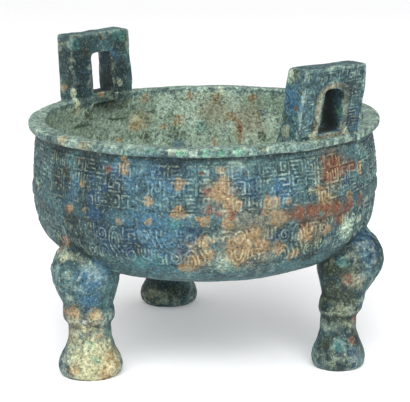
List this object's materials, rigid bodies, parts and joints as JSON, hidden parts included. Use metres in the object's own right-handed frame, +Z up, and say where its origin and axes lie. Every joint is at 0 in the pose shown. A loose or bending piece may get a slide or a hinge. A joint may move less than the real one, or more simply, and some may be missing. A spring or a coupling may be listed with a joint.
{
  "type": "bronze ding vessel",
  "caption": "Round cast bronze tripod cauldron with a turned-out rim, upright loop handles, interlaced relief bands and hoofed legs.",
  "frame": {"origin": "on the bowl's axis, at the level of the undersides of the feet", "axes": "+Z up along the bowl's axis, +X towards the handle whose outer face shows in the picture, -Y between the handles towards the front leg"},
  "size_m": [0.312, 0.3043, 0.261],
  "materials": {
    "bronze": "cast bronze, blue-green to grey-green patina with deep azurite blue, ochre earth and red-brown patches, matt"
  },
  "bodies": {
    "root": {"ding_vessel": "bronze"}
  },
  "joints": []
}
